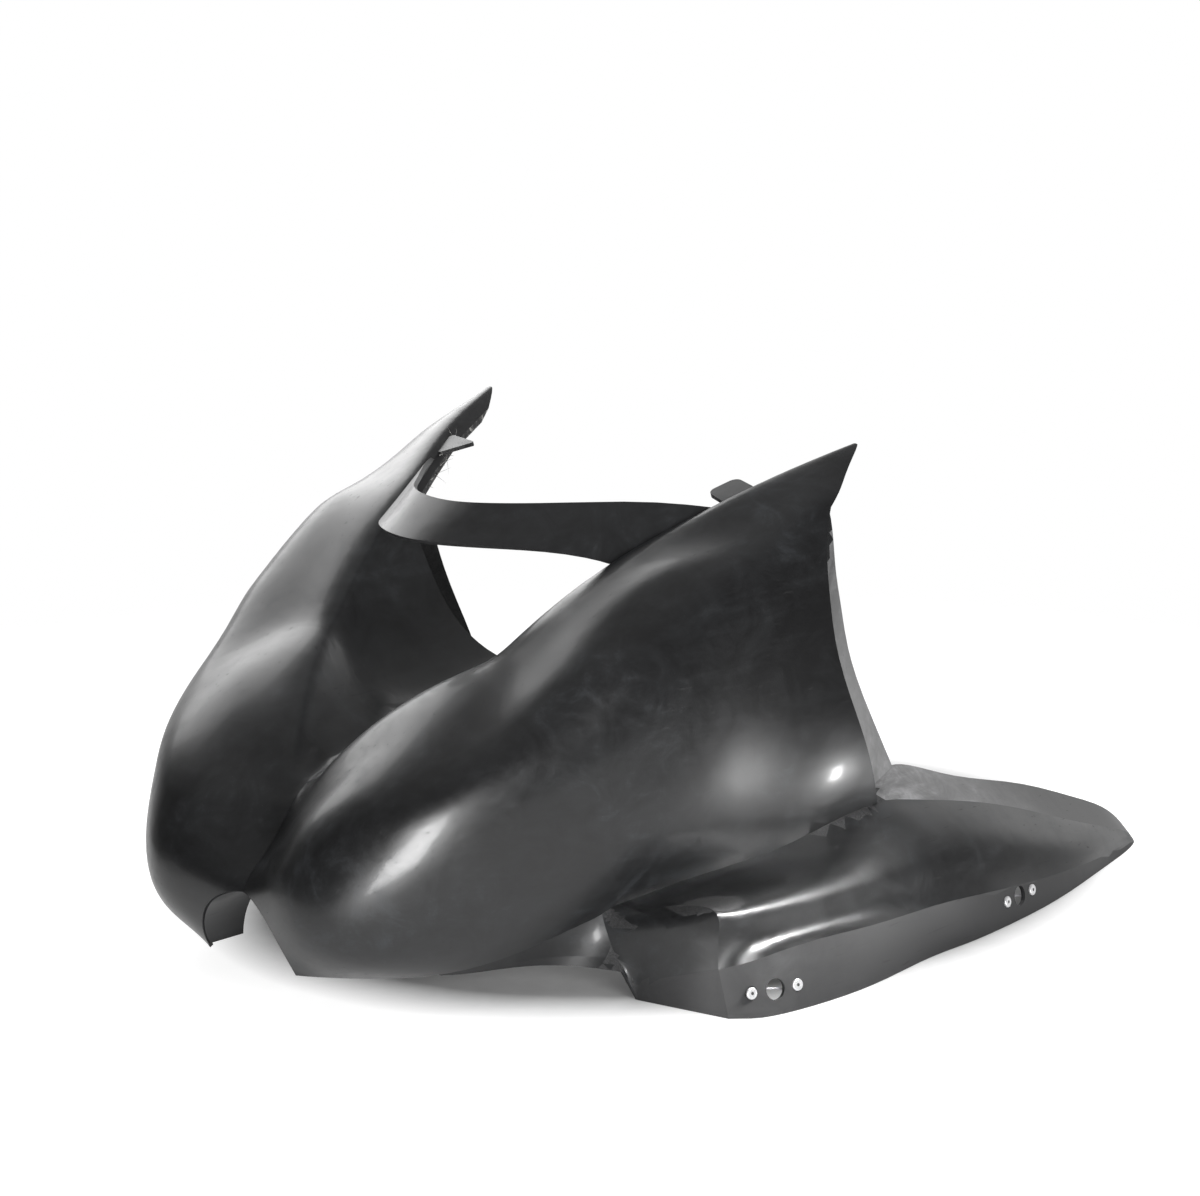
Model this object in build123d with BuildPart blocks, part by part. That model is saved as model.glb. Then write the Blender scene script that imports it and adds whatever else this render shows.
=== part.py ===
"""Upper race fairing: one moulded glass-fibre shell with riveted quarter-turn springs.

Frame: +X is the rider's left, -Y is forward, +Z is up. The shell stands on the lower
edges of its two wings, and the origin is on the floor under the middle of its length.
Lines are written as (half breadth, distance behind the nose, height above the floor).
"""

import math
import os

from build123d import *

# Overall
length = 710.0
wall = 3.0
overlap = 2.0

# Screen opening and rear edge
valley_end = 270.0
screen_lip = 6.0
tip_behind = 416.0
tip_height = 336.0

# Arch under the nose
arch_half_width = 42.0
chin_height = 25.0
arch_rise = 49.0
arch_depth = 48.0
arch_step = 1.0
arch_angles = [4, 30, 60, 90, 120, 150, 176]

# Screen tabs
tab_breadth = 26.0
tab_width = 24.0
tab_inset = (4.0, 10.0, 6.0)
tab_lean = 0.35

# Fasteners on the wings
stud_hole_radius = 7.0
rivet_pitch = 35.0
rivet_radius = 2.0
rivet_head_radius = 4.0
rivet_head_height = 1.4
rivet_head_round = 0.98
rivet_tail_radius = 3.0
rivet_tail_height = 2.0
fastener_height = 16.0
fastener_behind = {"front": 231.0, "rear": 501.0}
wire_radius = 0.9
eyelet_radius = 3.2
eyelet_turn = 300.0
play = 0.1
seat_depth = 0.3
seat_radius = 4.6


def place(breadth, behind, height):
    """A point of the left half; the middle of the skin runs past the middle plane."""
    return Vector(breadth if breadth else -overlap, behind - length / 2, height)


def across(distance):
    """A plane across the fairing, seen from the front, at a distance behind the nose."""
    return Plane(origin=(0, distance - length / 2, 0), x_dir=(1, 0, 0), z_dir=(0, -1, 0))


# Lines of the main skin, from the chin up to the crest and down into the valley; near the tips
# the upper lines keep their drop below the tip
chin_line = [(0, 17, 25), (42, 20, 25), (78, 45, 25), (113, 82, 27), (164, 190, 57), (188, 266, 69),
             (205, 345, 82), (212, 390, 91), (217, 425, 98)]
belly_line = [(0, 13, 52), (40, 7, 54), (78, 8, 56), (115, 42, 60), (188, 190, 110), (205, 266, 125),
              (219, 345, 147), (223, 390, 153), (226, 425, 158)]
nose_line = [(0, 14, 76), (38, 4, 82), (76, 3, 87), (118, 34, 95), (191, 190, 160), (206, 266, 182),
             (211, 345, 200), (216, 390, 206), (219, 425, 211)]
brow_line = [(0, 32, 94), (36, 16, 106), (76, 14, 118), (124, 46, 130), (184, 190, 208), (197, 266, 238),
             (202, 345, tip_height - 88), (207, 390, tip_height - 82), (211, 425, tip_height - 78)]
shoulder_line = [(0, 47, 110), (34, 34, 126), (76, 36, 145), (122, 66, 162), (156, 190, 240), (178, 266, 279),
                 (191, 345, tip_height - 50), (197, 390, tip_height - 44), (202, 425, tip_height - 40)]
dome_line = [(0, 57, 122), (30, 54, 140), (70, 80, 176), (98, 120, 199), (119, 190, 241), (145, 266, 286),
             (175, 345, tip_height - 28), (184, 390, tip_height - 20), (192, 425, tip_height - 14)]
crest_line = [(0, 64, 131), (14, 68, 142), (33, 95, 173), (58, 136, 200), (86, 190, 233), (115, 266, 281),
              (148, 345, tip_height - 21), (163, 390, tip_height - 8), (175, 425, tip_height + 2)]
wall_line = [(0, 67, 133), (12, 74, 143), (28, 99, 164), (50, 138, 187), (78, 190, 219), (107, 266, 268),
             (140, 345, tip_height - 32), (155, 390, tip_height - 19), (167, 425, tip_height - 9)]
foot_line = [(0, 74, 137), (9, 84, 143), (20, 106, 155), (36, 142, 167), (57, 190, 186), (76, 266, 214),
             (110, 345, tip_height - 54), (126, 390, tip_height - 41), (138, 425, tip_height - 32)]
floor_line = [(0, 86, 141), (6, 96, 144), (12, 114, 148), (20, 146, 156), (32, 190, 167), (40, 266, 186),
              (86, 345, tip_height - 72), (102, 390, tip_height - 59), (114, 425, tip_height - 50)]
valley_line = [(0, 96, 144), (0, 104, 146), (0, 120, 149), (0, 150, 156), (0, 190, 164), (-12, 266, 178),
               (60, 345, tip_height - 89), (77, 390, tip_height - 77), (90, 425, tip_height - 68)]
skin_lines = [chin_line, belly_line, nose_line, brow_line, shoulder_line, dome_line, crest_line, wall_line,
              foot_line, floor_line, valley_line]

# Rear edge of the side panel in the side view, from below the tip down to the wing
rear_edge = [(368, tip_height - 39), (352, tip_height - 84), (353, tip_height - 128), (368, 153), (404, 84)]
# Rear end of the return behind that edge
return_start = [(367, tip_height - 42), (358, tip_height - 61), (353, tip_height - 81),
                (352, tip_height - 106), (355, tip_height - 136), (367, 155), (390, 110)]
return_end = [(187, 370, tip_height - 41), (192, 368, tip_height - 59), (194, 369, tip_height - 79),
              (195, 375, tip_height - 102), (195, 386, tip_height - 134), (196, 410, 154), (200, 431, 112)]
return_root = 5.0
return_sink = 1.2

# Screen band between the crests: its lower and its upper edge
band_low = [(0, 166, 284), (33, 174, 284), (78, 213, 280), (110, 250, 269)]
band_high = [(0, 197, 306), (31, 203, 307), (65, 235, 307), (97, 272, 307), (138, 319, tip_height - 33)]

# Wing sections: distance behind the nose, then lip, top, shelf, ridge, channel, step and foot
wing_sections = [
    (84, [(105, 37), (112, 31), (112, 30), (112, 29), (112, 28), (111, 27), (110, 25)]),
    (120, [(127, 50), (134, 44), (133, 40), (132, 36), (130, 32), (128, 28), (126, 24)]),
    (155, [(143, 59), (150, 53), (149, 47), (147, 40), (145, 34), (143, 28), (142, 22)]),
    (180, [(153, 64), (161, 59), (163, 51), (166, 44), (170, 36), (175, 28), (181, 20)]),
    (189, [(155, 65), (164, 62), (186, 60), (210, 54), (204, 36), (195, 18), (186, 0)]),
    (200, [(159, 66), (168, 64), (207, 66), (246, 66), (247, 48), (248, 31), (257, 0)]),
    (230, [(169, 71), (178, 69), (215, 69), (250, 63), (252, 47), (262, 38), (271, 0)]),
    (266, [(180, 78), (189, 75), (222, 71), (253, 62), (257, 47), (269, 41), (276.5, 0)]),
    (320, [(192, 88), (201, 84), (230, 76), (256, 61), (261, 47), (272, 39), (277, 0)]),
    (380, [(201, 102), (211, 96), (236, 83), (258, 60), (263, 46), (269, 36), (270, 0)]),
    (430, [(199, 113), (217, 92), (238, 80), (256, 59), (261, 45), (266, 32), (268.5, 0)]),
    (479, [(200, 99), (222, 82), (238, 72), (252, 54), (257, 41), (261, 26), (265, 0)]),
    (543, [(201, 80), (224, 64), (235, 54), (244, 42), (249, 31), (253, 19), (256, 0)]),
    (600, [(200, 63), (221, 44), (229, 37), (235, 29), (239, 21), (242, 13), (243, 0)]),
    (657, [(198, 42), (215, 25), (219, 21), (222, 16), (224, 11.5), (226, 7), (228, 0)]),
    (length, [(197, 13), (205, 6), (206, 5), (207, 4), (208, 3), (209, 2), (210, 0)]),
]
skirt_end = 3
front_end = 5


def spacing(points):
    """Where each point lies along its curve, as a share of the chords added up."""
    along = [0.0]
    for first, second in zip(points, points[1:]):
        along.append(along[-1] + (second - first).length)
    return [distance / along[-1] for distance in along]


def skin():
    """The outside face of the left half, lofted from frames that cross all the lines."""
    frames = [[place(*point) for point in frame] for frame in zip(*skin_lines)]
    shares = [spacing(frame) for frame in frames[2:]]
    knots = [sum(column) / len(column) for column in zip(*shares)]
    wires = []
    for frame in frames:
        with BuildLine() as curve:
            add(Edge.make_spline(frame, parameters=knots))
        wires.append(curve.wire())
    return Shell.make_loft(wires).faces()[0]


def wing_face(distance, outside):
    """The wall's section: the outside line, and the inside one moved in by the wall."""
    turn = math.pi / 2 / (len(outside) - 1)
    inside = []
    for index, (breadth, height) in enumerate(outside):
        angle = turn * index
        inside.append((breadth - wall * math.sin(angle), height - wall * math.cos(angle)))
    with BuildSketch(across(distance)) as section:
        with BuildLine():
            Polyline(outside[0], outside[1])
            Spline(*outside[1:6])
            Polyline(outside[5], outside[6], inside[6], inside[5])
            Spline(*inside[5:0:-1])
            Polyline(inside[1], inside[0], outside[0])
        make_face()
    return section.sketch


def outside_at(part, behind, height):
    """The outermost point of a part on a level line across the fairing."""
    line = Axis((length, behind - length / 2, height), (-1, 0, 0))
    hits = [point for point, _ in part.find_intersection_points(line)]
    return max(hits, key=lambda point: point.X)


def front_at(part, breadth, height):
    """The foremost point of a part on a line along the fairing."""
    line = Axis((breadth, -length, height), (0, 1, 0))
    hits = [point for point, _ in part.find_intersection_points(line)]
    return min(hits, key=lambda point: point.Y)


def seat(part, behind):
    """A plane on the outside of the wing through a pair of rivets, facing out."""
    first = outside_at(part, behind - rivet_pitch / 2, fastener_height)
    second = outside_at(part, behind + rivet_pitch / 2, fastener_height)
    low = outside_at(part, behind, fastener_height - rivet_head_radius)
    high = outside_at(part, behind, fastener_height + rivet_head_radius)
    along = second - first
    return Plane(origin=(first + second) / 2, x_dir=along, z_dir=along.cross(high - low))


def strip(first, second):
    """The ruled face between two curves."""
    return Face.make_surface_from_curves(first, second)


with BuildPart() as wing:
    faces = [wing_face(*section) for section in wing_sections]
    loft(faces[: skirt_end + 1])
    loft(faces[skirt_end : front_end + 1], ruled=True)
    loft(faces[front_end:])

with BuildPart() as fairing_shell:
    thicken(skin(), amount=wall)
    # The half ends in the middle plane
    with BuildSketch(Plane.YZ):
        Rectangle(2 * length, 2 * length)
    extrude(amount=-length, mode=Mode.SUBTRACT)
    # Rear edge and tip, cut square to the side view
    with BuildSketch(Plane.YZ):
        with BuildLine():
            edge = Spline(*[(behind - length / 2, height) for behind, height in rear_edge])
            tip = (tip_behind - length / 2, tip_height)
            Polyline(edge @ 1, (length / 2, rear_edge[-1][1]), (length / 2, length), (tip[0], length),
                     tip, edge @ 0)
        make_face()
    extrude(amount=length, mode=Mode.SUBTRACT)
    # Screen opening, cut straight down inside the crest
    with BuildSketch(Plane.XY):
        with BuildLine():
            inside = [(breadth - screen_lip, behind - length / 2) for breadth, behind, _ in crest_line[5:]]
            front = valley_end - length / 2
            Polyline((-overlap * 2, front), (inside[0][0], front), *inside[1:],
                     (-overlap * 2, inside[-1][1]), close=True)
        make_face()
    extrude(amount=length, mode=Mode.SUBTRACT)
    # Return behind the rear edge, rooted inside the wall
    roots = [outside_at(fairing_shell.part, behind - return_root, height) for behind, height in return_start]
    root_edge = Edge.make_spline([root - Vector(return_sink, 0, 0) for root in roots])
    end_edge = Edge.make_spline([place(*point) for point in return_end])
    thicken(strip(root_edge, end_edge), amount=wall, normal_override=(-1, 0, 0))
    add(wing.part)
    # Holes for the quarter-turn studs, and rivet holes with flat seats beside them
    seats = {name: seat(fairing_shell.part, behind) for name, behind in fastener_behind.items()}
    for plane in seats.values():
        with BuildSketch(plane):
            Circle(stud_hole_radius)
            with GridLocations(rivet_pitch, 0, 2, 1):
                Circle(rivet_radius + play)
        extrude(amount=4 * wall, both=True, mode=Mode.SUBTRACT)
        with BuildSketch(plane.offset(-seat_depth)):
            with GridLocations(rivet_pitch, 0, 2, 1):
                Circle(seat_radius)
        extrude(amount=2 * wall, mode=Mode.SUBTRACT)
        with BuildSketch(plane.offset(-wall)):
            with GridLocations(rivet_pitch, 0, 2, 1):
                Circle(seat_radius)
        extrude(amount=-2 * wall, mode=Mode.SUBTRACT)
    # Screen tab beside the crest
    crest = [place(*point) for point in crest_line]
    tab_root = crest[-3] - Vector(tab_inset)
    with BuildSketch(Plane(origin=tab_root, x_dir=(-1, tab_lean, 0), z_dir=(0, -tab_lean, 1))):
        with Locations((tab_breadth / 2, 0)):
            RectangleRounded(tab_breadth, tab_width, tab_width / 4)
    extrude(amount=-wall)
    mirror(about=Plane.YZ)
    # Screen band between the crests
    edges = []
    for points in (band_low, band_high):
        left = [Vector(breadth, behind - length / 2, height) for breadth, behind, height in points]
        right = [Vector(-point.X, point.Y, point.Z) for point in left[:0:-1]]
        edges.append(Edge.make_spline(right + left))
    thicken(strip(*edges), amount=wall, normal_override=(0, 0.6, -0.8))
    # Arch under the nose, with a return running back from inside its edge
    turns = [math.radians(angle) for angle in arch_angles]
    start = []
    end = []
    for turn in turns:
        breadth = math.cos(turn)
        rise = math.sin(turn)
        hit = front_at(fairing_shell.part, breadth * arch_half_width, chin_height + rise * arch_rise)
        inner = (breadth * (arch_half_width - arch_step), chin_height + rise * (arch_rise - arch_step))
        start.append(Vector(inner[0], hit.Y + wall / 2, inner[1]))
        end.append(Vector(inner[0], arch_depth - length / 2, inner[1]))
    with BuildSketch(across(arch_depth)):
        with Locations((0, chin_height)):
            Ellipse(arch_half_width, arch_rise)
    extrude(amount=2 * arch_depth, mode=Mode.SUBTRACT)
    thicken(strip(Edge.make_spline(start), Edge.make_spline(end)), amount=wall, normal_override=(0, 0, 1))

with BuildPart() as rivets:
    for plane in seats.values():
        for side in (-1, 1):
            with BuildSketch(plane.offset(-seat_depth)):
                with Locations((side * rivet_pitch / 2, 0)):
                    Circle(rivet_head_radius)
            extrude(amount=rivet_head_height)
            rim = rivets.edges(Select.LAST).sort_by(Axis(plane.origin, plane.z_dir))[-1]
            fillet(rim, rivet_head_round)
            with BuildSketch(plane.offset(-seat_depth)):
                with Locations((side * rivet_pitch / 2, 0)):
                    Circle(rivet_radius)
            extrude(amount=-(wall - seat_depth + 2 * wire_radius + rivet_tail_height))
            with BuildSketch(plane.offset(-(wall + 2 * wire_radius))):
                with Locations((side * rivet_pitch / 2, 0)):
                    Circle(rivet_tail_radius)
            extrude(amount=-rivet_tail_height)
    mirror(about=Plane.YZ)
rivets.part.label = "rivets"

springs = []
lean = math.degrees(math.asin(2 * eyelet_radius / rivet_pitch))
for place_name, plane in seats.items():
    with BuildPart() as spring:
        with BuildLine(plane.offset(-(wall + wire_radius))) as path:
            first = CenterArc((-rivet_pitch / 2, 0), eyelet_radius, 90 - lean + eyelet_turn, -eyelet_turn)
            second = CenterArc((rivet_pitch / 2, 0), eyelet_radius, 270 - lean, eyelet_turn)
            Line(first @ 1, second @ 0)
        with BuildSketch(Plane(origin=first @ 0, z_dir=first % 0)):
            Circle(wire_radius)
        sweep(path=path.wire())
    with BuildPart() as twin:
        add(mirror(spring.part, about=Plane.YZ))
    for side_name, piece in (("left", spring), ("right", twin)):
        piece.part.label = f"{place_name}_spring_{side_name}"
        springs.append(piece.part)

fairing_shell.part.label = "fairing_shell"
os.makedirs("parts", exist_ok=True)
export_step(fairing_shell.part, "parts/fairing_shell.step")
export_step(rivets.part, "parts/rivets.step")
for piece in springs:
    export_step(piece, f"parts/{piece.label}.step")
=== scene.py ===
"""Looks of the upper race fairing: black gelcoat, raw laminate and cut edges, pale returns that are partly
rubbed surface and partly painted reflection, rivets, studio floor and light.
"""

import math
import random

import bpy
import numpy as np
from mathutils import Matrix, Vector


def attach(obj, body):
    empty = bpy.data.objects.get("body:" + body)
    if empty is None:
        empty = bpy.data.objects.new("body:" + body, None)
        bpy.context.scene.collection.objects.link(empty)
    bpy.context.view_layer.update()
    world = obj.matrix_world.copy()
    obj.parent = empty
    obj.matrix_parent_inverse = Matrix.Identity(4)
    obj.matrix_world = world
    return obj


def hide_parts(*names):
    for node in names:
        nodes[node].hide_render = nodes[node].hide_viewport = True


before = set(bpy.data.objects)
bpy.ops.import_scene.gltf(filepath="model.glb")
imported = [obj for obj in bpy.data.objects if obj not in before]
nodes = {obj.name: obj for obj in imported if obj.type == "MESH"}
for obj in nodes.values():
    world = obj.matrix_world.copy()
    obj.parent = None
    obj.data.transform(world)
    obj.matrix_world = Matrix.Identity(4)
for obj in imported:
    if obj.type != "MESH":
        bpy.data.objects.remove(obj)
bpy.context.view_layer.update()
scene = bpy.context.scene
# Where the nose lies on Y, and millimetres in a metre
NOSE = -0.355
MM = 1000
# Places of the shell's materials, in the order in which it gets them
BLACK, RUBBED_AND_REFLECTION, INSIDE, CUT, MATT = range(5)


def new_material(name):
    """A material with its shader and output, and shortcuts to its tree."""
    material = bpy.data.materials.new(name)
    material.use_nodes = True
    tree = material.node_tree
    return material, tree.nodes, tree.links, tree.nodes["Principled BSDF"]


def texture(n, links, kind, scale, source, **settings):
    """A procedural texture on the given coordinates."""
    node = n.new(kind)
    node.inputs["Scale"].default_value = scale
    for key, value in settings.items():
        node.inputs[key].default_value = value
    links.new(source, node.inputs["Vector"])
    return node


def ramp(n, links, source, stops):
    """A colour ramp with (position, colour) stops."""
    node = n.new("ShaderNodeValToRGB")
    elements = node.color_ramp.elements
    while len(elements) < len(stops):
        elements.new(0.5)
    for element, (position, colour) in zip(elements, stops):
        element.position = position
        element.color = (*colour, 1.0)
    links.new(source, node.inputs["Fac"])
    return node.outputs["Color"]


def sums(n, links, kind, first, second):
    """Two values put together by a sum of the given kind."""
    node = n.new("ShaderNodeMath")
    node.operation = kind
    for socket, value in zip(node.inputs, (first, second)):
        if isinstance(value, float):
            socket.default_value = value
        else:
            links.new(value, socket)
    return node.outputs[0]


def grey(value):
    """A colour with the same red, green and blue."""
    return (value, value, value)


def stretched(n, links, source, scale, turn):
    """Coordinates drawn out along one direction, for scratches and streaks."""
    node = n.new("ShaderNodeMapping")
    node.inputs["Scale"].default_value = scale
    node.inputs["Rotation"].default_value = turn
    links.new(source, node.inputs["Vector"])
    return node.outputs["Vector"]


def coat(name, dark, middle, pale, rough, gloss_coat, fading_reflection=False):
    """Pigmented resin with clouded smudges, streaks drawn out as from rubbing, fine scratches and dust.

    With fading_reflection the colour grows darker towards the rear of the wing, where its painted reflection
    gives out.
    """
    material, n, links, shader = new_material(name)
    place = n.new("ShaderNodeTexCoord").outputs["Object"]
    cloud = texture(n, links, "ShaderNodeTexNoise", 8.0, place, Detail=6.0, Roughness=0.6, Distortion=0.8)
    smudge = texture(n, links, "ShaderNodeTexNoise", 30.0, place, Detail=8.0, Roughness=0.72, Distortion=1.4)
    mixed = sums(n, links, "MULTIPLY", cloud.outputs["Fac"], smudge.outputs["Fac"])
    drawn = stretched(n, links, place, (1.0, 0.07, 1.0), (0.5, 0.1, 0.35))
    rub = texture(n, links, "ShaderNodeTexNoise", 110.0, drawn, Detail=5.0, Roughness=0.65)
    streak = ramp(n, links, rub.outputs["Fac"], [(0.5, grey(0.0)), (0.72, grey(0.09))])
    dirt = sums(n, links, "ADD", mixed, streak)
    tone = ramp(n, links, dirt, [(0.18, dark), (0.33, middle), (0.48, pale)])
    speck = texture(n, links, "ShaderNodeTexVoronoi", 380.0, place)
    dust = ramp(n, links, speck.outputs["Distance"], [(0.0, grey(1.0)), (0.09, grey(0.0))])
    patch = ramp(n, links, smudge.outputs["Fac"], [(0.52, grey(0.0)), (0.66, grey(0.35))])
    blend = n.new("ShaderNodeMixRGB")
    blend.inputs["Color2"].default_value = (0.2, 0.2, 0.2, 1.0)
    links.new(sums(n, links, "MULTIPLY", dust, patch), blend.inputs["Fac"])
    links.new(tone, blend.inputs["Color1"])
    colour = blend.outputs["Color"]
    if fading_reflection:
        # Painted reflection fading out: the colour is multiplied darker towards the rear of the wing
        parts = n.new("ShaderNodeSeparateXYZ")
        links.new(place, parts.inputs["Vector"])
        less = n.new("ShaderNodeMixRGB")
        less.blend_type = "MULTIPLY"
        less.inputs["Fac"].default_value = 1.0
        links.new(colour, less.inputs["Color1"])
        keep = ramp(n, links, parts.outputs["Y"], [(0.12, grey(1.0)), (0.24, grey(0.3))])
        links.new(keep, less.inputs["Color2"])
        colour = less.outputs["Color"]
    links.new(colour, shader.inputs["Base Color"])
    gloss = ramp(n, links, dirt, [(0.15, grey(rough)), (0.3, grey(rough + 0.06)), (0.5, grey(rough + 0.2))])
    fine = stretched(n, links, place, (1.0, 0.05, 1.0), (0.2, 0.6, -0.4))
    scratch = texture(n, links, "ShaderNodeTexNoise", 420.0, fine, Detail=3.0)
    line = ramp(n, links, scratch.outputs["Fac"], [(0.66, grey(0.0)), (0.74, grey(0.16))])
    links.new(sums(n, links, "ADD", gloss, line), shader.inputs["Roughness"])
    shader.inputs["Coat Weight"].default_value = gloss_coat
    shader.inputs["Coat Roughness"].default_value = 0.12
    shader.inputs["Specular IOR Level"].default_value = 0.4
    wave = texture(n, links, "ShaderNodeTexNoise", 22.0, place, Detail=2.0)
    bump = n.new("ShaderNodeBump")
    bump.inputs["Strength"].default_value = 0.08
    bump.inputs["Distance"].default_value = 0.002
    links.new(wave.outputs["Fac"], bump.inputs["Height"])
    links.new(bump.outputs["Normal"], shader.inputs["Normal"])
    return material


def laminate():
    """Bare inside of the lay-up: dark resin over a mat of short strands."""
    material, n, links, shader = new_material("laminate")
    place = n.new("ShaderNodeTexCoord").outputs["Object"]
    mat = texture(n, links, "ShaderNodeTexNoise", 160.0, place, Detail=6.0, Roughness=0.8, Distortion=3.0)
    tone = ramp(n, links, mat.outputs["Fac"], [(0.35, (0.012, 0.012, 0.013)), (0.65, (0.035, 0.035, 0.036))])
    links.new(tone, shader.inputs["Base Color"])
    shader.inputs["Roughness"].default_value = 0.55
    bump = n.new("ShaderNodeBump")
    bump.inputs["Strength"].default_value = 0.6
    bump.inputs["Distance"].default_value = 0.001
    links.new(mat.outputs["Fac"], bump.inputs["Height"])
    links.new(bump.outputs["Normal"], shader.inputs["Normal"])
    return material


def raw_edge():
    """Cut glass fibre: dark resin with pale broken strands showing in places."""
    material, n, links, shader = new_material("raw_edge")
    place = n.new("ShaderNodeTexCoord").outputs["Object"]
    torn = texture(n, links, "ShaderNodeTexNoise", 140.0, place, Detail=6.0, Roughness=0.75, Distortion=1.0)
    stops = [(0.45, grey(0.02)), (0.56, grey(0.09)), (0.68, (0.5, 0.49, 0.46))]
    tone = ramp(n, links, torn.outputs["Fac"], stops)
    links.new(tone, shader.inputs["Base Color"])
    shader.inputs["Roughness"].default_value = 0.7
    return material


def metal(name, colour, rough, grain, bare):
    """Bare metal with a fine uneven grain."""
    material, n, links, shader = new_material(name)
    place = n.new("ShaderNodeTexCoord").outputs["Object"]
    speck = texture(n, links, "ShaderNodeTexNoise", grain, place, Detail=4.0)
    tone = ramp(n, links, speck.outputs["Fac"], [(0.3, tuple(c * 0.7 for c in colour)), (0.7, colour)])
    links.new(tone, shader.inputs["Base Color"])
    shine = ramp(n, links, speck.outputs["Fac"], [(0.3, grey(rough)), (0.7, grey(rough + 0.15))])
    links.new(shine, shader.inputs["Roughness"])
    shader.inputs["Metallic"].default_value = bare
    return material


def dress(piece, materials):
    """Gives a piece its materials."""
    piece.data.materials.clear()
    for material in materials:
        piece.data.materials.append(material)


black = coat("gelcoat", (0.009, 0.009, 0.0095), (0.014, 0.0145, 0.0155), (0.026, 0.028, 0.031), 0.32, 0.12)
# Pale coat for the wing's top strip and the rear return: partly rubbed surface, partly painted reflection of
# the bright room
rubbed_and_reflection = coat("rubbed_and_reflection", (0.09, 0.09, 0.091), (0.17, 0.17, 0.172), (0.3, 0.3, 0.305), 0.4, 0.1, True)
matt = coat("matt", (0.02, 0.02, 0.021), (0.028, 0.028, 0.029), (0.042, 0.042, 0.044), 0.5, 0.0)
shell = bpy.data.objects.new("shell", nodes["fairing_shell"].data.copy())
scene.collection.objects.link(shell)
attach(shell, "root")
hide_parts("fairing_shell")
dress(shell, [black, rubbed_and_reflection, laminate(), raw_edge(), matt])
dress(nodes["rivets"], [metal("rivet", (0.75, 0.75, 0.76), 0.3, 900.0, 0.55)])
wire = metal("wire", (0.5, 0.5, 0.52), 0.3, 700.0, 0.7)
for name in nodes:
    if "spring" in name:
        dress(nodes[name], [wire])

# Softer run of the lobes and the wing's front corner: two ends of each bulge, its shift and its
# spread in mm, as (half breadth, distance behind the nose, height)
BULGES = [
    ((165, 175, 228), (182, 245, 260), (7, 0, 2), (26, 26, 26)),
    ((168, 288, 288), (168, 288, 288), (0, 0, -6), (28, 34, 30)),
    ((196, 368, 290), (196, 368, 290), (4, 0, 6), (22, 34, 34)),
    ((208, 340, 230), (215, 335, 140), (4, 0, 0), (30, 32, 30)),
    ((257, 199, 20), (257, 199, 20), (-5, 2, 0), (16, 9, 40)),
]
# Height of the wing's lower ridge along the shell, in mm
STEP_AT = [186, 200, 230, 266, 320, 380, 430, 479, 543, 600, 657, 710]
STEP_HIGH = [12, 31, 38, 41, 39, 36, 32, 26, 19, 13, 7, 2]
# Headings of the normals round the wing's front end, in degrees, by half breadth in mm
FRONT_SIDE = [188, 215, 240, 256, 268]
FRONT_HEADING = [-80, -66, -46, -30, -20]
# The far tab's root, directions and room in mm, and where along it the tear starts and how long it runs
TAB_ROOT = np.array((-144.0, -20.0, 309.0))
TAB_OUT = np.array((0.944, 0.33, 0.0))
TAB_UP = np.array((0.0, -0.33, 0.944))
TAB_WIDE = np.cross(TAB_UP, TAB_OUT)
TAB_WIDE /= np.linalg.norm(TAB_WIDE)
TAB_REACH = 28
TAB_HALF_WIDTH = 14
TAB_HALF_DEPTH = 5
TEAR_START = 5
TEAR_RUN = 20
TEAR_SHARE = 0.9


def warp(points):
    """Points of the shell moved by the bulges, the same on both sides, and by the torn far tab."""
    moved = points.copy()
    sign = np.sign(points[:, 0])
    own = np.stack([np.abs(points[:, 0]), points[:, 1] - NOSE, points[:, 2]], axis=1) * MM
    for head, tail, shift, spread in BULGES:
        run = np.array(tail, dtype=float) - head
        along = np.clip((own - head) @ run / max(run @ run, 1.0), 0, 1)
        away = (own - head - along[:, None] * run) / np.array(spread)
        share = np.exp(-0.5 * (away ** 2).sum(axis=1))
        moved[:, 0] += sign * share * shift[0] / MM
        moved[:, 1] += share * shift[1] / MM
        moved[:, 2] += share * shift[2] / MM
    off = points * MM - TAB_ROOT
    out = off @ TAB_OUT
    wide = off @ TAB_WIDE
    on_tab = (points[:, 0] < 0) & (out > TEAR_START) & (out < TAB_REACH)
    on_tab &= (np.abs(wide) < TAB_HALF_WIDTH) & (np.abs(off @ TAB_UP) < TAB_HALF_DEPTH)
    torn = np.where(on_tab, np.clip((out - TEAR_START) / TEAR_RUN, 0, 1), 0)
    moved -= (TEAR_SHARE * torn * wide / MM)[:, None] * TAB_WIDE
    return moved


mesh = shell.data
spots = np.empty(len(mesh.vertices) * 3)
mesh.vertices.foreach_get("co", spots)
spots = spots.reshape(-1, 3)
corners = np.empty(len(mesh.loops), dtype=np.int32)
mesh.loops.foreach_get("vertex_index", corners)
smooth = np.empty(len(mesh.loops) * 3)
mesh.corner_normals.foreach_get("vector", smooth)
smooth = smooth.reshape(-1, 3)
# Normals turn with the surface: two short steps along it are moved as well
step = 0.0002
upright = np.array([[0.0, 0.0, 1.0]])
sideways = np.array([[1.0, 0.0, 0.0]])
helper = np.where(np.abs(smooth[:, 2:3]) < 0.9, upright, sideways)
first = np.cross(smooth, helper)
first /= np.linalg.norm(first, axis=1, keepdims=True)
second = np.cross(smooth, first)
start = spots[corners]
base = warp(start)
turned = np.cross(warp(start + first * step) - base, warp(start + second * step) - base)
turned /= np.linalg.norm(turned, axis=1, keepdims=True)
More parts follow.
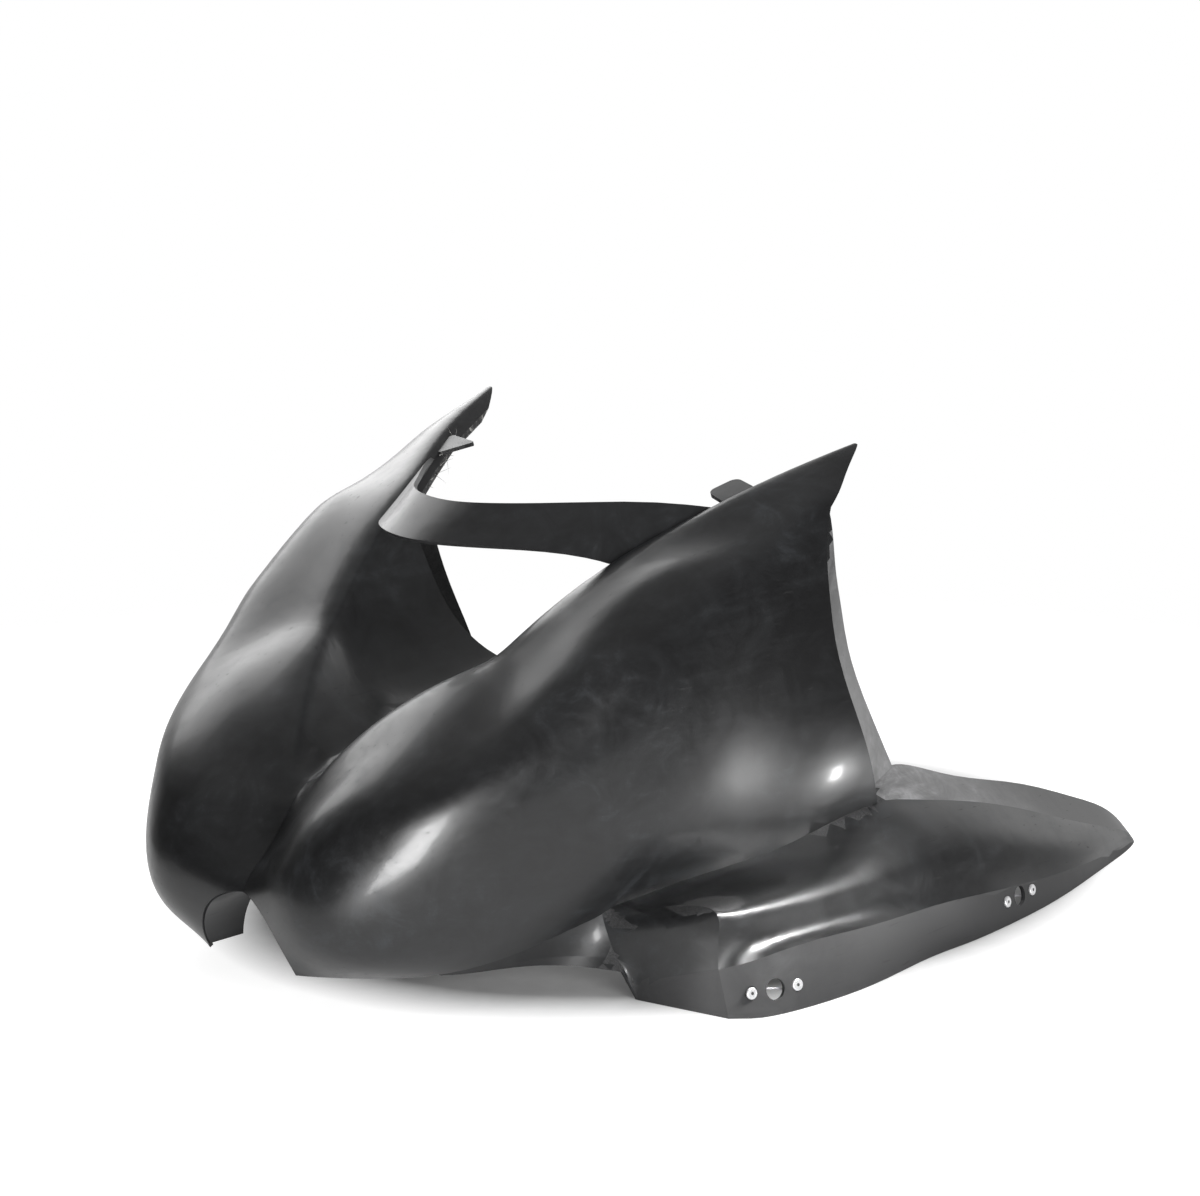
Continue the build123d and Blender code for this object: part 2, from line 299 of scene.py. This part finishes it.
# The wing's front end reads as round: headings of the normals run evenly from front to side
own_side = np.abs(base[:, 0]) * MM
own_behind = (base[:, 1] - NOSE) * MM
own_high = base[:, 2] * MM
level = np.hypot(turned[:, 0], turned[:, 1])
heading = np.arctan2(turned[:, 1], turned[:, 0] * np.sign(base[:, 0]))
aim_heading = np.radians(np.interp(own_side, FRONT_SIDE, FRONT_HEADING))
at_front = (own_behind > 186.5) & (own_side > 185) & (level > 0.5)
round_off = np.clip((232 - own_behind) / 14, 0, 1) * at_front
round_off = round_off * np.clip((60 - own_high) / 12, 0, 1) * (np.abs(heading - aim_heading) < 1.1)
heading = heading + round_off * (aim_heading - heading)
turned[:, 0] = np.where(round_off > 0, level * np.cos(heading) * np.sign(base[:, 0]), turned[:, 0])
turned[:, 1] = np.where(round_off > 0, level * np.sin(heading), turned[:, 1])
mesh.vertices.foreach_set("co", warp(spots).ravel())
mesh.update()
mesh.normals_split_custom_set(turned.tolist())

# Which part of the moulding each face of the shell belongs to
count = len(mesh.polygons)
centre = np.empty(count * 3)
normal = np.empty(count * 3)
mesh.polygons.foreach_get("center", centre)
mesh.polygons.foreach_get("normal", normal)
centre = centre.reshape(-1, 3)
normal = normal.reshape(-1, 3)
side = np.abs(centre[:, 0]) * MM
behind = (centre[:, 1] - NOSE) * MM
high = centre[:, 2] * MM
outward = normal[:, 0] * np.sign(centre[:, 0])
kind = np.full(count, BLACK, dtype=np.int32)
# Insides face the middle of the lobe, or the hollow under the wing
wing_at = [180, 270, 430, 710]
lobe_at = [0, 60, 190, 425]
on_wing = (high < np.interp(behind, wing_at, [62, 76, 100, 20])) & (side > 140) & (behind > 185)
middle_side = np.where(on_wing, np.interp(behind, wing_at, [190, 215, 210, 190]),
                       np.interp(behind, lobe_at, [60, 80, 130, 185]))
middle_high = np.where(on_wing, 15, np.interp(behind, lobe_at, [60, 75, 130, 215]))
facing = outward * (middle_side - side) + normal[:, 2] * (middle_high - high)
kind[facing > 3] = INSIDE
# Return behind the rear edge and the top of the wing get the pale coat: partly rubbed surface, partly
# painted reflection of the bright room
edge_line = np.interp(high, [84, 153, 208, 252, 297], [404, 368, 353, 352, 368])
back_return = (behind > edge_line - 6) & (normal[:, 1] > 0.2) & (facing <= 3) & (high > 124)
back_return |= behind > edge_line + 3
back_return &= (high > 104) & (high < 297) & (side > 175)
top_line = np.interp(behind, [400, 430, 479, 543, 600, 657, 710], [212, 217, 222, 224, 221, 215, 205])
wing_top = (behind > 405) & (side < top_line + 0.5) & (normal[:, 2] > 0.25) & (high < 116)
kind[back_return & (outward > -0.2)] = RUBBED_AND_REFLECTION
kind[wing_top] = RUBBED_AND_REFLECTION
# Matt flange along the foot of the wing
step_line = np.interp(behind, STEP_AT, STEP_HIGH)
foot_face = (outward > 0.6) | ((behind < 204) & (normal[:, 1] < -0.6) & (side > 184))
kind[(behind > 186) & (high < step_line - 1) & foot_face & (side > 184)] = MATT
# Cut edge of the screen opening
lip_line = np.interp(behind, [266, 345, 390, 425], [115, 148, 163, 175])
on_lip = np.abs(side - lip_line + 6) < 2.5
kind[(behind > 272) & on_lip & (np.abs(normal[:, 2]) < 0.3) & (high > 255)] = CUT
mesh.polygons.foreach_set("material_index", kind)


def piece(name, points, faces, material, slot):
    """A piece of the scene's own that rides with the shell."""
    form = bpy.data.meshes.new(name)
    form.from_pydata([tuple(point) for point in points], [], faces)
    form.materials.append(material)
    made = bpy.data.objects.new(name, form)
    scene.collection.objects.link(made)
    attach(made, "root")


# Torn strands along the cut edge of the far side
STRANDS = 34
STRAND_RADIUS = 0.0003
fibre, n, links, shader = new_material("fibre")
place = n.new("ShaderNodeTexCoord").outputs["Object"]
shade = texture(n, links, "ShaderNodeTexNoise", 500.0, place, Detail=3.0)
tone = ramp(n, links, shade.outputs["Fac"], [(0.35, grey(0.12)), (0.65, (0.62, 0.61, 0.58))])
links.new(tone, shader.inputs["Base Color"])
shader.inputs["Roughness"].default_value = 0.6
chance = random.Random(11)
ends = np.flatnonzero((kind == CUT) & (centre[:, 0] < 0) & (behind > 285) & (behind < 350))
points = []
faces = []
for index in chance.sample(list(ends), min(STRANDS, len(ends))):
    at = Vector(centre[index])
    lead = Vector(normal[index]) + Vector([chance.uniform(-0.8, 0.8) for _ in range(3)])
    lead.normalize()
    bend = Vector([chance.uniform(-0.5, 0.5) for _ in range(3)])
    size = chance.uniform(0.003, 0.01)
    for share in (0.0, 0.35, 0.7, 1.0):
        spot = at + (lead * share + bend * share ** 2) * size
        for turn in (0, 120, 240):
            around = Vector((math.cos(math.radians(turn)), 0, math.sin(math.radians(turn))))
            points.append(spot + around * STRAND_RADIUS * (1.1 - share))
    start = len(points) - 12
    for ring in range(3):
        for corner in range(3):
            low = start + ring * 3
            following = (corner + 1) % 3
            faces.append((low + corner, low + following, low + 3 + following, low + 3 + corner))
piece("strands", points, faces, fibre, "gelcoat")

# Painted shade of the mandrel holes: dark discs laid on the rivet heads, found from the stud holes of the
# left side and their axes
STUD_HOLES = [
    ((0.2659, -0.1239, 0.016), (0.9355, -0.2769, 0.2196)),
    ((0.2583, 0.1458, 0.0158), (0.9773, 0.1307, 0.1666)),
]
RIVET_OFFSET = 0.0175
MANDREL_RADIUS = 0.0011
MANDREL_SIDES = 16
hole_shade, n, links, shader = new_material("hole_shade")
place = n.new("ShaderNodeTexCoord").outputs["Object"]
shade = texture(n, links, "ShaderNodeTexNoise", 900.0, place, Detail=2.0)
tone = ramp(n, links, shade.outputs["Fac"], [(0.3, grey(0.01)), (0.7, grey(0.03))])
links.new(tone, shader.inputs["Base Color"])
heads = nodes["rivets"].data
tops = np.empty(len(heads.vertices) * 3)
heads.vertices.foreach_get("co", tops)
tops = tops.reshape(-1, 3)
points = []
faces = []
for middle, axis in STUD_HOLES:
    for mirrored in (1, -1):
        out = Vector((axis[0] * mirrored, axis[1], axis[2]))
        along = Vector((-out.y, out.x, 0)).normalized()
        other = out.cross(along)
        for way in (-1, 1):
            near = Vector((middle[0] * mirrored, middle[1], middle[2])) + along * way * RIVET_OFFSET
            own = tops[np.linalg.norm(tops - np.array(near), axis=1) < 0.006]
            height = own @ np.array(out)
            top = Vector(own[height > height.max() - 0.00005].mean(axis=0)) + out * 0.00004
            start = len(points)
            for turn in range(MANDREL_SIDES):
                angle = math.tau * turn / MANDREL_SIDES
                ray = along * math.cos(angle) + other * math.sin(angle)
                points.append(top + ray * MANDREL_RADIUS)
            faces.append(tuple(range(start, start + MANDREL_SIDES)))
piece("mandrel_hole_shades", points, faces, hole_shade, "rivet")

# Floor: white to the eye and in reflections but for the part's shadow and a painted shadow under it, and
# faded out round the edge
bpy.ops.mesh.primitive_circle_add(vertices=64, radius=1.5, fill_type="NGON", location=(0, 0, -0.0005))
floor = bpy.context.object
floor.name = "floor"
paper, n, links, shader = new_material("paper")
place = n.new("ShaderNodeTexCoord").outputs["Object"]
grain = texture(n, links, "ShaderNodeTexNoise", 60.0, place, Detail=2.0)
tone = ramp(n, links, grain.outputs["Fac"], [(0.3, grey(0.5)), (0.7, grey(0.54))])
links.new(tone, shader.inputs["Base Color"])
shader.inputs["Roughness"].default_value = 0.9
shader.inputs["Emission Color"].default_value = (1.0, 1.0, 1.0, 1.0)
path = n.new("ShaderNodeLightPath")
# An oval under the shell gets no glow, so that its shadow shows: the oval is a painted shadow, darker than
# the glowing floor round it
under = n.new("ShaderNodeVectorMath")
under.operation = "MULTIPLY"
under.inputs[1].default_value = (3.09, 2.5, 0.0)
shifted = n.new("ShaderNodeVectorMath")
shifted.inputs[1].default_value = (0.0, -0.07, 0.0)
links.new(place, shifted.inputs[0])
links.new(shifted.outputs["Vector"], under.inputs[0])
inside = n.new("ShaderNodeVectorMath")
inside.operation = "LENGTH"
links.new(under.outputs["Vector"], inside.inputs[0])
glow_round_painted_shadow = ramp(n, links, inside.outputs["Value"], [(0.79, grey(0.0)), (0.94, grey(0.84))])
seen = sums(n, links, "ADD", path.outputs["Is Camera Ray"], path.outputs["Is Glossy Ray"])
seen = sums(n, links, "ADD", seen, path.outputs["Is Transmission Ray"])
links.new(sums(n, links, "MULTIPLY", seen, glow_round_painted_shadow), shader.inputs["Emission Strength"])
reach = n.new("ShaderNodeVectorMath")
reach.operation = "LENGTH"
links.new(place, reach.inputs[0])
fade = n.new("ShaderNodeMixShader")
links.new(ramp(n, links, reach.outputs["Value"], [(0.6, grey(0.0)), (1.0, grey(1.0))]), fade.inputs["Fac"])
links.new(shader.outputs["BSDF"], fade.inputs[1])
links.new(n.new("ShaderNodeBsdfTransparent").outputs["BSDF"], fade.inputs[2])
links.new(fade.outputs["Shader"], n["Material Output"].inputs["Surface"])
floor.data.materials.append(paper)

# Surroundings: white to the eye; reflections show that white where the backdrop stands, behind the
# part as the photo sees it, and elsewhere a dim room with a few bright sides
world = bpy.data.worlds.new("studio")
scene.world = world
world.use_nodes = True
n, links = world.node_tree.nodes, world.node_tree.links
ray = n.new("ShaderNodeTexCoord").outputs["Generated"]


def glow(direction, stops):
    """Light from the part of the room that lies in one direction."""
    toward = n.new("ShaderNodeVectorMath")
    toward.operation = "DOT_PRODUCT"
    toward.inputs[1].default_value = Vector(direction).normalized()
    links.new(ray, toward.inputs[0])
    return ramp(n, links, toward.outputs["Value"], stops)


back_window = glow((-0.18, 0.95, 0.25), [(0.9, grey(0.0)), (0.975, grey(1.0))])
ceiling = glow((0.0, 0.2, 1.0), [(0.0, grey(0.06)), (0.6, grey(0.13)), (1.0, grey(0.42))])
room = sums(n, links, "ADD", ceiling, sums(n, links, "MULTIPLY", back_window, 2.0))
white = n.new("ShaderNodeMixRGB")
white.inputs["Color2"].default_value = (1.0, 1.0, 1.0, 1.0)
path = n.new("ShaderNodeLightPath")
mirrored = sums(n, links, "ADD", path.outputs["Is Glossy Ray"], path.outputs["Is Transmission Ray"])
backdrop = glow((-0.69, 0.72, 0.05), [(0.6, grey(0.0)), (0.8, grey(1.0))])
seen = sums(n, links, "ADD", path.outputs["Is Camera Ray"], sums(n, links, "MULTIPLY", mirrored, backdrop))
links.new(seen, white.inputs["Fac"])
links.new(room, white.inputs["Color1"])
links.new(white.outputs["Color"], n["Background"].inputs["Color"])


def area(name, energy, size, place, target, size_y=None):
    """A soft light aimed at a point."""
    light = bpy.data.lights.new(name, "AREA")
    light.energy = energy
    light.size = size
    if size_y:
        light.shape = "RECTANGLE"
        light.size_y = size_y
    holder = bpy.data.objects.new(name, light)
    scene.collection.objects.link(holder)
    holder.location = place
    holder.rotation_euler = (Vector(target) - Vector(place)).to_track_quat("-Z", "Y").to_euler()
    return holder


# Two lamps light the part and stay out of its reflections; the other four show only there, for the
# highlights on nose, lobes and wing ridges
overhead = area("overhead", 42.0, 3.0, (0.0, 0.0, 2.6), (0, 0, 0))
fill = area("fill", 60.0, 1.2, (2.3, -1.0, 0.45), (0.1, 0, 0.15))
for light in (overhead, fill):
    light.visible_glossy = False
front = area("front", 105.0, 0.8, (1.92, -1.88, -0.12), (0.12, -0.32, 0.1))
window = area("window", 1.9, 0.13, (0.45, 0.165, 0.004), (0.45, 0.165, 1.0), 0.045)
window.rotation_euler = (math.pi, 0.0, math.radians(31))
panel = area("panel", 3.4, 0.7, (-0.52, -0.02, 0.55), (-0.1, -0.1, 0.22), 0.45)
ridges = area("ridges", 0.9, 0.18, (0.40, -0.04, 0.22), (0.275, -0.09, 0.045), 0.03)
ridges.data.spread = math.radians(70)
for light in (front, window, panel, ridges):
    light.visible_diffuse = False
    light.visible_camera = False

# Camera at the photo's place
cam = bpy.data.cameras.new("camera")
cam.sensor_width = 36.0
cam.lens = 108.0
camera = bpy.data.objects.new("camera", cam)
scene.collection.objects.link(camera)
aim = Vector((0.0, -0.00554, 0.2136))
camera.location = Vector((1.6972, -1.80487, 0.7667))
camera.rotation_euler = (aim - camera.location).to_track_quat("-Z", "Y").to_euler()
scene.camera = camera
scene.view_settings.view_transform = "Standard"
